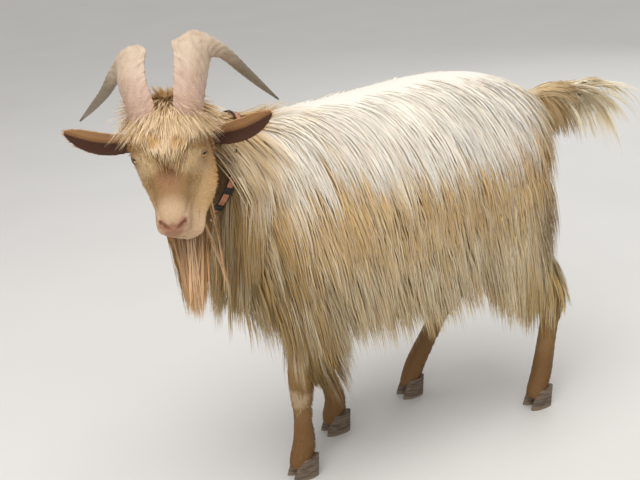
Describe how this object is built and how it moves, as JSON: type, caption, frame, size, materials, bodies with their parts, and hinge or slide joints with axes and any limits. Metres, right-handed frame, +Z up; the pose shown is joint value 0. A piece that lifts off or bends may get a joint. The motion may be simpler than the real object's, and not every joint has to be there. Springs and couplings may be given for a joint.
{
  "type": "goat model",
  "caption": "Life-size still model of a standing long-haired golden buck goat with swept horns, beard, forelock, cloven hooves, a carried tail and a leather collar.",
  "frame": {"origin": "on the ground under the middle of the animal's bounding box", "axes": "+Z up, -X the way the goat faces, -Y its left side"},
  "size_m": [1.2394, 0.4794, 0.9171],
  "materials": {
    "body_hair": "long silky hair, cream white",
    "golden_hair": "silky hair, golden",
    "leg_hair": "short hair, ginger brown",
    "horn": "grey and pink horn, finely wrinkled",
    "hoof": "dull dark hoof",
    "eye": "wet amber eye with a level dark pupil",
    "strap_leather": "worn tan leather",
    "black_leather": "black edging",
    "collar_metal": "bright steel"
  },
  "bodies": {
    "root": {"collar_keeper_1": "black_leather", "collar_keeper_2": "black_leather", "collar_ring": "collar_metal", "collar_strap": "strap_leather", "ear_left": "golden_hair", "ear_right": "golden_hair", "eye_left": "eye", "eye_right": "eye", "head": "golden_hair", "hoof_front_left_inner": "hoof", "hoof_front_left_outer": "hoof", "hoof_front_right_inner": "hoof", "hoof_front_right_outer": "hoof", "hoof_hind_left_inner": "hoof", "hoof_hind_left_outer": "hoof", "hoof_hind_right_inner": "hoof", "hoof_hind_right_outer": "hoof", "horn_left": "horn", "horn_right": "horn", "jaw": "golden_hair", "leg_front_left": "leg_hair", "leg_front_right": "leg_hair", "leg_hind_left": "leg_hair", "leg_hind_right": "leg_hair", "neck": "golden_hair", "tail": "golden_hair", "torso": "body_hair"}
  },
  "joints": []
}
